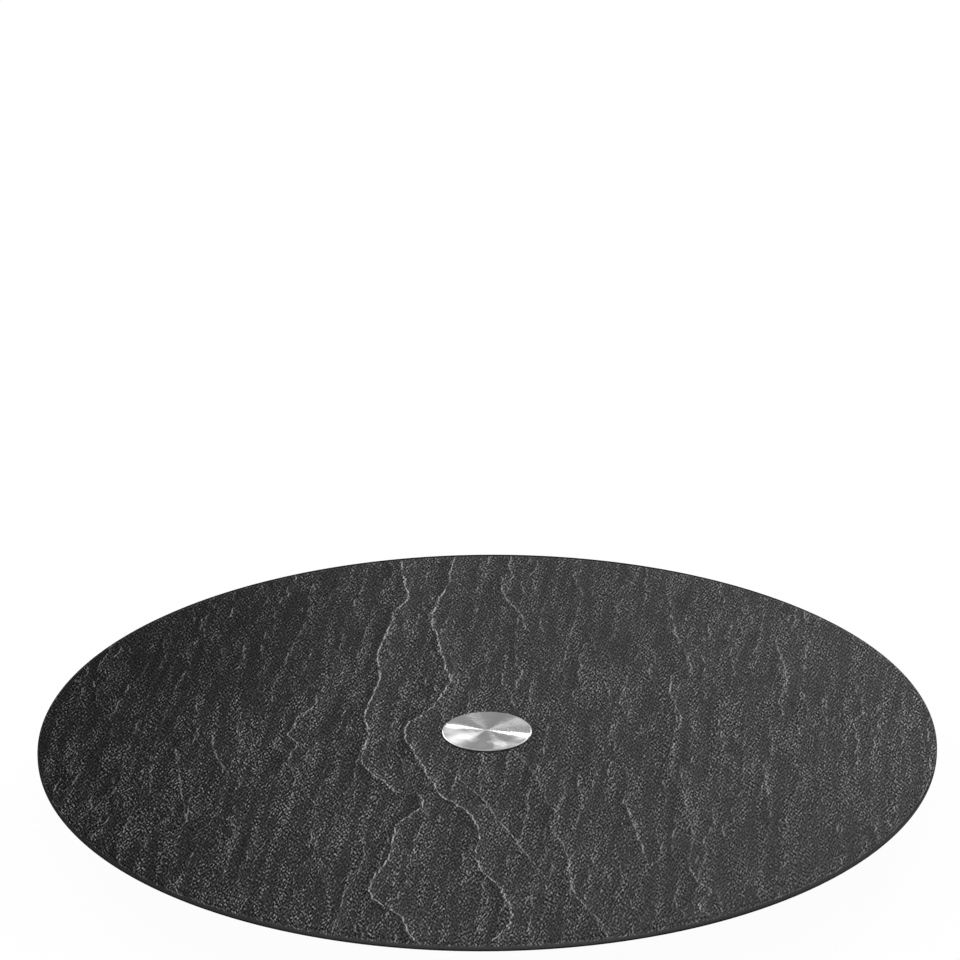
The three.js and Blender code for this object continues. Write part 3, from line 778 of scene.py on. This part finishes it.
def block(size, centre, turn):
    """A box, turned about the axis."""
    bm = bmesh.new()
    bmesh.ops.create_cube(bm, size=1.0)
    moves = Matrix.Rotation(turn, 4, "Z") @ Matrix.Translation(centre) @ Matrix.Diagonal((*size, 1.0))
    bm.transform(moves)
    return bm


def mesh_data(bm, name):
    """Mesh data of a working mesh, which is used up."""
    data = bpy.data.meshes.new(name)
    bm.to_mesh(data)
    bm.free()
    return data


def together(meshes):
    """Several meshes that don't touch, as one."""
    whole = bmesh.new()
    for part in meshes:
        loose = mesh_data(part, "loose")
        whole.from_mesh(loose)
        bpy.data.meshes.remove(loose)
    return whole


def combined(body, tool, operation):
    """Two closed meshes joined, cut or crossed."""
    holders = [add_object("holder", mesh_data(part, "holder")) for part in (body, tool)]
    change = holders[0].modifiers.new("change", "BOOLEAN")
    change.object, change.operation, change.solver = holders[1], operation, "EXACT"
    graph = bpy.context.evaluated_depsgraph_get()
    made = bmesh.new()
    made.from_mesh(holders[0].evaluated_get(graph).data)
    for holder in holders:
        data = holder.data
        bpy.data.objects.remove(holder)
        bpy.data.meshes.remove(data)
    return made


def threaded(radius, depth, foot, thread_top, top, segments):
    """A bar with a screw thread from its foot up to some level, and a plain shank above."""
    pitch, count = THREAD_PITCH, int((thread_top - foot) / THREAD_PITCH * THREAD_STEPS)
    rows = [foot + pitch * k / THREAD_STEPS for k in range(count + 1)]
    rows += [thread_top + pitch / 2, top]
    bm = bmesh.new()
    grid = []
    for level in rows:
        run_in = min(1.0, (level - foot) / pitch)
        row = []
        for k in range(segments):
            turn = k / segments
            wave = abs(2 * ((level / pitch - turn) % 1.0) - 1)
            sunk = depth * wave if level <= thread_top else 0.0
            reach = radius - max(sunk, depth * (1 - run_in))
            angle = 2 * math.pi * turn
            row.append(bm.verts.new((reach * math.cos(angle), reach * math.sin(angle), level)))
        grid.append(row)
    for lower, upper in zip(grid, grid[1:]):
        for k in range(segments):
            after = (k + 1) % segments
            bm.faces.new((lower[k], lower[after], upper[after], upper[k]))
    bm.faces.new(list(reversed(grid[0])))
    bm.faces.new(grid[-1])
    return bm


def add_piece(name, bm, materials, body, node, choose=None, at=(0.0, 0.0)):
    """Makes a mesh a piece that rides on a body and stands for a CAD node."""
    bm.transform(Matrix.Scale(MM, 4) @ Matrix.Translation((*at, 0.0)))
    data = mesh_data(bm, name)
    for made in materials:
        data.materials.append(made)
    if choose:
        for face in data.polygons:
            face.material_index = choose(face.center / MM, face.normal)
    data.shade_smooth()
    data.set_sharp_from_angle(angle=SHARP_ANGLE)
    piece = add_object(name, data)
    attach(piece, body)
    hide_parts(node)


# Pieces that turn with the plate

def add_plate():
    """Glass with a sharper upper edge and a rounder lower one: print on top and rim, lacquer below."""
    hole_end, under, over = PLATE_HOLE + PLATE_HOLE_EDGE, LOWER_EDGE, UPPER_EDGE
    outline = [
        (hole_end, PLATE.foot), *[(out, PLATE.foot) for out in PLATE_RINGS],
        *arc(PLATE.radius - under, PLATE.foot + under, under, under, -90, 0, LOWER_EDGE_STEPS),
        *arc(PLATE.radius - over, PLATE.top - over, over, over, 0, 90, UPPER_EDGE_STEPS),
        *[(out, PLATE.top) for out in reversed(PLATE_RINGS)],
        (PLATE_INNER_RING, PLATE.top), (hole_end, PLATE.top),
        (PLATE_HOLE, PLATE.top - PLATE_HOLE_EDGE), (PLATE_HOLE, PLATE.foot + PLATE_HOLE_EDGE),
    ]
    flat_end = PLATE.radius - UPPER_EDGE

    def choose(centre, normal):
        if normal.z < -FACING:
            return 2
        return 0 if normal.z > LEVEL and centre.xy.length < flat_end else 1

    finishes = [slate_material("slate_print", 0.15), slate_material("slate_rim", 0.0), lacquer_material()]
    plate = turned(outline, PLATE_SEGMENTS)
    add_piece("slate_plate", plate, finishes, "turntable", "glass_plate", choose)


def add_cap():
    """Low crown, a rolled edge, a narrow bevel and a short side."""
    flat_end = CAP.radius - CAP_BEVEL - CAP_ROLL
    outline = [
        (0.0, CAP.foot), (CAP.radius - CAP_FOOT_EDGE, CAP.foot), (CAP.radius, CAP.foot + CAP_FOOT_EDGE),
        (CAP.radius, CAP.top - CAP_CROWN - CAP_ROLL_DROP - CAP_BEVEL)]
    for k in range(CAP_ROLL_STEPS, 0, -1):
        part = k / CAP_ROLL_STEPS
        level = CAP.top - CAP_CROWN - CAP_ROLL_DROP * part ** CAP_ROLL_BEND
        outline.append((flat_end + CAP_ROLL * part, level))
    for k in range(CAP_CROWN_STEPS, -1, -1):
        part = k / CAP_CROWN_STEPS
        outline.append((flat_end * k / CAP_CROWN_STEPS, CAP.top - CAP_CROWN * part ** 2))

    def choose(centre, normal):
        return 0 if centre.xy.length < flat_end and normal.z > FACING else 1

    finishes = [cap_material(), cap_edge_material()]
    add_piece("turned_cap", turned(outline), finishes, "turntable", "cap_disc", choose)


def add_turntable_pieces():
    plated, rubber, nylon = plated_steel(), black_rubber(), white_nylon()
    aluminium, bearing = turned_aluminium(), bearing_steel()
    rides = "turntable"
    seal = ring(STUD_HOLE, GASKET, 0.06)
    add_piece("cap_seal", seal, [clear_silicone()], rides, "cap_gasket")
    stud = threaded(STUD.radius, STUD_THREAD_DEPTH, STUD.foot, STUD_THREAD_TOP, STUD.top, STUD_SEGMENTS)
    add_piece("threaded_stud", stud, [plated], rides, "cap_stud")
    sleeve = ring(STUD_HOLE, SLEEVE, 0.25, SMALL_SEGMENTS)
    add_piece("glass_sleeve", sleeve, [nylon], rides, "hole_sleeve")
    pad = ring(STUD_HOLE, PAD, 0.35)
    add_piece("soft_pad", pad, [rubber], rides, "plate_pad")
    rotor = rounded([
        (STUD_HOLE, ROTOR.foot), (SPIGOT_RADIUS, ROTOR.foot, 0.4), (SPIGOT_RADIUS, ROTOR_FLANGE_UNDER, 1.0),
        (RING_INNER, ROTOR_FLANGE_UNDER, 0.8), (RING_INNER, ROTOR_FOOT, 0.5),
        (CHANNEL_INNER, ROTOR_FOOT, CHANNEL_EDGE), (CHANNEL_INNER, UPPER_RACE.top),
        (CHANNEL_OUTER, UPPER_RACE.top), (CHANNEL_OUTER, ROTOR_FOOT, CHANNEL_EDGE),
        (RING_OUTER, ROTOR_FOOT, 0.5), (RING_OUTER, ROTOR_FLANGE_UNDER, 0.8),
        (ROTOR.radius, ROTOR_FLANGE_UNDER, 0.6), (ROTOR.radius, ROTOR.top, 0.6), (STUD_HOLE, ROTOR.top)])
    add_piece("turned_rotor", turned(rotor), [aluminium], rides, "rotor_plate")
    washer = ring(STUD_HOLE, WASHER, 0.2)
    add_piece("flat_washer", washer, [plated], rides, "retaining_washer")
    add_piece("hex_nut", hex_nut(), [plated], rides, "hub_nut")
    upper_race = race(UPPER_RACE, -1)
    add_piece("grooved_race_upper", upper_race, [bearing], rides, "upper_race")
    return plated, rubber, nylon, aluminium, bearing


def hex_nut():
    """Hexagon with both ends chamfered round, and a countersunk bore."""
    corner, sunk = NUT.radius, STUD_HOLE + NUT_SINK
    prism = turned([(0, NUT.foot), (corner, NUT.foot), (corner, NUT.top), (0, NUT.top)], 6)
    flat, wide = corner * math.cos(math.pi / 6) - 0.1, corner + 0.1
    barrel = turned([
        (0, NUT.foot), (flat, NUT.foot), (wide, NUT.foot + NUT_CHAMFER), (wide, NUT.top - NUT_CHAMFER),
        (flat, NUT.top), (0, NUT.top)], SMALL_SEGMENTS)
    bore = turned([
        (0, NUT.foot - PAST), (sunk, NUT.foot - PAST), (STUD_HOLE, NUT.foot + NUT_SINK_DEPTH),
        (STUD_HOLE, NUT.top - NUT_SINK_DEPTH), (sunk, NUT.top + PAST), (0, NUT.top + PAST)], SMALL_SEGMENTS)
    return combined(combined(prism, barrel, "INTERSECT"), bore, "DIFFERENCE")


def race(size, side):
    """Race ring whose groove opens up where side is 1 and down where it is -1."""
    face, back = (size.top, size.foot) if side > 0 else (size.foot, size.top)
    half = math.degrees(math.acos(abs(face - BALL_LEVEL) / GROOVE_RADIUS))
    start, end = -side * 90 + side * half, -side * 90 - side * half
    groove = arc(BALL_CIRCLE, BALL_LEVEL, GROOVE_RADIUS, GROOVE_RADIUS, start, end, GROOVE_STEPS)
    edge = RACE_EDGE
    outline = rounded([(RACE_INNER, back, edge), (size.radius, back, edge), (size.radius, face, edge)])
    return turned([*outline, *groove, (RACE_INNER + edge, face), (RACE_INNER, face - side * edge)])


# Pieces of the ball ring

def add_ball_ring(nylon, bearing):
    blank = ring(CAGE_INNER, CAGE, 0.3)
    places = [middle(f"ball_{k:02d}") for k in range(1, BALL_COUNT + 1)]
    flared, edge = POCKET_RADIUS + POCKET_FLARE, POCKET_EDGE
    pocket = [
        (0, CAGE.foot - PAST), (flared, CAGE.foot - edge), (POCKET_RADIUS, CAGE.foot + edge),
        (POCKET_RADIUS, CAGE.top - edge), (flared, CAGE.top + edge), (0, CAGE.top + PAST)]
    pockets = together([turned(pocket, BALL_SEGMENTS, at) for at in places])
    cage = combined(blank, pockets, "DIFFERENCE")
    add_piece("ball_retainer", cage, [nylon], "ball_ring", "ball_cage")
    half_circle = arc(0, BALL_LEVEL, BALL_RADIUS, BALL_RADIUS, -90, 90, BALL_SEGMENTS // 2)
    half_circle[0], half_circle[-1] = (0, BALL_LEVEL - BALL_RADIUS), (0, BALL_LEVEL + BALL_RADIUS)
    for k, at in enumerate(places, 1):
        ball, node = turned(half_circle, BALL_SEGMENTS), f"ball_{k:02d}"
        add_piece(f"steel_{node}", ball, [bearing], "ball_ring", node, at=at)


# Pieces of the base

def dome(depth):
    """Quarter-ellipse line of the base's dome, some depth under its skin, from rim to crown."""
    width, height = BASE.radius - RING_OUTER - depth, BASE.top - RIM_TOP - depth
    return arc(RING_OUTER, RIM_TOP, width, height, 0, 90, DOME_STEPS)


def base_mesh():
    """Domed shell with ribs, a boss over each foot, a hub and the holes for bush and screws."""
    inside, half_wall = BASE.radius - BASE_WALL, BASE_WALL / 2
    rounding = RIM_OUTER_EDGE
    hub = rounded([
        (HUB_BORE, HUB_FOOT), (HUB_RADIUS, HUB_FOOT), (HUB_RADIUS, WEB_UNDER), (RING_INNER, WEB_UNDER),
        (RING_INNER, BED_UNDER), (RING_OUTER, BED_UNDER)])
    shell = turned([
        *hub, *reversed(dome(BASE_WALL)),
        (inside, BASE.foot + RIM_INNER_EDGE), (inside + RIM_INNER_EDGE, BASE.foot),
        *arc(BASE.radius - rounding, BASE.foot + rounding, rounding, rounding, -90, 0, RIM_EDGE_STEPS),
        *dome(0.0),
        (CHANNEL_OUTER + CHANNEL_EDGE, BASE.top), (CHANNEL_OUTER, BASE.top - CHANNEL_EDGE),
        (CHANNEL_OUTER, LOWER_RACE.foot), (CHANNEL_INNER, LOWER_RACE.foot),
        (CHANNEL_INNER, BASE.top - CHANNEL_EDGE), (CHANNEL_INNER - CHANNEL_EDGE, BASE.top),
        (HUB_BORE, BASE.top)])

    # Ribs and bosses end halfway into the shell
    crown, bed = BASE.top - half_wall, LOWER_RACE.foot - BED_THICKNESS / 2
    under = turned([
        (0, 0), (BASE.radius - half_wall, 0), *dome(half_wall),
        (RING_OUTER - half_wall, crown), (RING_OUTER - half_wall, bed),
        (RING_INNER + half_wall, bed), (RING_INNER + half_wall, crown), (0, crown)])
    start, height = HUB_RADIUS - half_wall, BASE.top - RIB_FOOT
    length = BASE.radius - start
    size, centre = (length, RIB_THICKNESS, height), (start + length / 2, 0, RIB_FOOT + height / 2)
    stiffeners = [block(size, centre, (k + 0.5) * 2 * math.pi / RIB_COUNT) for k in range(RIB_COUNT)]
    boss = rounded([
        (0, FOOT.top), (BOSS_RADIUS, FOOT.top, BOSS_EDGE), (BOSS_RADIUS, BASE.top), (0, BASE.top)])
    stiffeners += [turned(boss, SMALL_SEGMENTS, at) for at in FOOT_PLACES]
    cast = combined(shell, combined(together(stiffeners), under, "INTERSECT"), "UNION")
    hole_foot = FOOT.top - 4 * PAST
    hole = [
        (0, hole_foot), (SCREW_HOLE, hole_foot), (SCREW_HOLE, SCREW.top + FIT),
        (0, SCREW.top + SCREW_HOLE_TIP)]
    holes = [turned(hole, SMALL_SEGMENTS // 2, at) for at in FOOT_PLACES]
    holes.append(turned([(0, 0), (HUB_RECESS, 0), (HUB_RECESS, HUB_FOOT), (0, HUB_FOOT)]))
    return combined(cast, together(holes), "DIFFERENCE")


def add_base_pieces(plated, rubber, nylon, aluminium, bearing):
    def choose(centre, normal):
        on_dome = normal.z > 0.02 and centre.z > RIM_TOP - 0.1
        return 0 if on_dome or centre.xy.length > BASE.radius - 0.8 else 1

    rides = "base"
    metals = [aluminium, cast_aluminium()]
    add_piece("domed_base", base_mesh(), metals, rides, "base_plate", choose)
    bush = rounded([
        (BUSH_BORE, BUSH.foot, 0.3), (BUSH.radius, BUSH.foot, 0.3),
        (BUSH.radius, HUB_FOOT, 0.2), (BUSH_RADIUS, HUB_FOOT), (BUSH_RADIUS, BUSH.top, 0.4),
        (BUSH_BORE, BUSH.top, 0.3)])
    add_piece("flanged_bush", turned(bush), [nylon], rides, "pivot_bush")
    lower_race = race(LOWER_RACE, 1)
    add_piece("grooved_race_lower", lower_race, [bearing], rides, "lower_race")
    groove, sunk = FOOT_GROOVE, FOOT.foot + FOOT_GROOVE_DEPTH
    foot = rounded([
        (SCREW_HOLE, SCREW_HEAD_TOP), (FOOT_POCKET, SCREW_HEAD_TOP), (FOOT_POCKET, FOOT.foot, 0.4),
        (groove[0], FOOT.foot, 0.3), (groove[1], sunk, 0.2), (groove[2], sunk, 0.2),
        (groove[3], FOOT.foot, 0.3),
        (FOOT.radius - FOOT_TAPER, FOOT.foot, 0.7), (FOOT.radius, BASE.foot, 0.8),
        (FOOT.radius, FOOT.top, 0.4), (SCREW_HOLE, FOOT.top)])
    for k, at in enumerate(FOOT_PLACES, 1):
        rubber_foot = turned(foot, SMALL_SEGMENTS)
        add_piece(f"ringed_foot_{k}", rubber_foot, [rubber], rides, f"rubber_foot_{k}", at=at)
        screw = cross_screw()
        add_piece(f"cross_screw_{k}", screw, [plated], rides, f"foot_screw_{k}", at=at)


def cross_screw():
    """Pan-head screw, head down, with a cross recess and a threaded shank."""
    head = turned(rounded([
        (0, SCREW.foot), (SCREW.radius, SCREW.foot, 0.7), (SCREW.radius, SCREW_HEAD_TOP, 0.15),
        (0, SCREW_HEAD_TOP)]), SMALL_SEGMENTS // 2)
    foot = SCREW_HEAD_TOP - 0.4
    shank = threaded(SCREW_RADIUS, SCREW_THREAD_DEPTH, foot, SCREW_THREAD_TOP, SCREW.top, SCREW_SEGMENTS)
    whole = combined(head, shank, "UNION")
    arms = [block(SCREW_RECESS, (0, 0, SCREW.foot), turn) for turn in (0.0, math.pi / 2)]
    return combined(whole, combined(*arms, "UNION"), "DIFFERENCE")


# Studio: pale floor, soft lamps and a quiet surrounding

FLOOR_REACH = 14.0
FLOOR_DULL, FLOOR_PALE, PAPER_SCALE = 0.94, 0.98, 0.004

# The floor shows as plain white, with a share of real shade that is large only beneath the object
SHADE_REACH, SHADE_CORE, SHADE_FAR, SHADE_NEAR = 114.0, 96.0, 0.03, 0.7

# Light of the room, and how much of it the flag takes
ROOM_LIGHT, FLAG_SHADE = 0.40, 0.20
LAMPS = [
    # name, azimuth from +Y towards +X, elevation, distance, width, height, strength in watts
    ("front", 180.0, 56.0, 2.2, 1.6, 1.1, 7.0),
    ("left", -82.0, 40.0, 2.2, 1.5, 1.1, 5.0),
    ("right", 82.0, 40.0, 2.2, 1.5, 1.1, 5.0),
    ("overhead", 35.0, 66.0, 2.4, 0.5, 0.5, 4.5),
    ("back_right", 27.0, 30.0, 2.4, 0.36, 0.30, 20.0),
    ("back_left", -38.0, 33.0, 2.4, 1.0, 1.55, 20.0),
    ("back_low", -22.0, 17.0, 2.4, 0.30, 0.20, 3.5),
]


def add_floor():
    """Pale floor, white to the camera and in reflections, and clear from below."""
    n, place = material("pale_floor")
    path = n.add("ShaderNodeLightPath").outputs
    seen = n.plus(path["Is Camera Ray"], path["Is Glossy Ray"])
    seen = n.plus(seen, path["Is Transmission Ray"], clamp=True)
    paper = n.noise(place, PAPER_SCALE, detail=3.0)
    share = n.ramp(n.vector("LENGTH", place), SHADE_REACH, SHADE_CORE, SHADE_FAR, SHADE_NEAR)
    pale = n.grey(n.spread(paper, FLOOR_DULL, FLOOR_PALE))
    plain = n.add("ShaderNodeBsdfDiffuse", {"Color": pale}).outputs[0]
    glow = n.add("ShaderNodeEmission", {"Color": (1, 1, 1, 1), "Strength": 1.0}).outputs[0]
    white = n.add("ShaderNodeMixShader", {0: share, 1: glow, 2: plain}).outputs[0]
    front = n.add("ShaderNodeMixShader", {0: seen, 1: plain, 2: white}).outputs[0]
    clear = n.add("ShaderNodeBsdfTransparent").outputs[0]
    behind = n.add("ShaderNodeNewGeometry").outputs["Backfacing"]
    through = n.times(behind, path["Is Camera Ray"])
    both = n.add("ShaderNodeMixShader", {0: through, 1: front, 2: clear}).outputs[0]
    n.add("ShaderNodeOutputMaterial", {"Surface": both})
    data = bpy.data.meshes.new("floor")
    corners = [(x * FLOOR_REACH, y * FLOOR_REACH, 0) for x, y in ((-1, -1), (1, -1), (1, 1), (-1, 1))]
    data.from_pydata(corners, [], [(0, 1, 2, 3)])
    data.materials.append(n.owner)
    floor = add_object("floor", data)


def add_world():
    """Even grey room, white towards the horizon, with a dark flag behind the object."""
    bpy.context.scene.world = bpy.data.worlds.new("studio")
    n = Nodes(bpy.context.scene.world)
    way = n.add("ShaderNodeTexCoord").outputs["Generated"]
    x, y, z = n.parts(way)
    low = n.ramp(z, 0.14, 0.05)
    flag = n.times(n.ramp(z, 0.16, 0.28), n.ramp(z, 0.62, 0.44))
    flag = n.times(flag, n.ramp(n.math("ABSOLUTE", n.plus(x, 0.10)), 0.42, 0.16))
    flag = n.times(flag, n.ramp(y, 0.1, 0.5))
    level = n.total(ROOM_LIGHT, (flag, -FLAG_SHADE))
    level = n.total(level, (n.minus(1.0, level), low))
    glow = n.add("ShaderNodeBackground", {"Color": (1, 1, 1, 1), "Strength": level}).outputs[0]
    n.add("ShaderNodeOutputWorld", {"Surface": glow})


def add_lamps():
    for name, azimuth, elevation, distance, width, height, power in LAMPS:
        turn, rise = math.radians(azimuth), math.radians(elevation)
        way = Vector((math.sin(turn) * math.cos(rise), math.cos(turn) * math.cos(rise), math.sin(rise)))
        data = bpy.data.lights.new(name, "AREA")
        data.shape, data.size, data.size_y, data.energy = "RECTANGLE", width, height, power
        lamp = add_object(name, data)
        lamp.location = way * distance
        lamp.rotation_mode = "QUATERNION"
        lamp.rotation_quaternion = (-way).to_track_quat("-Z", "Y")


bpy.context.scene.view_settings.view_transform = "Standard"
add_camera()
add_plate()
add_cap()
plated, rubber, nylon, aluminium, bearing = add_turntable_pieces()
add_ball_ring(nylon, bearing)
add_base_pieces(plated, rubber, nylon, aluminium, bearing)
add_floor()
add_world()
add_lamps()
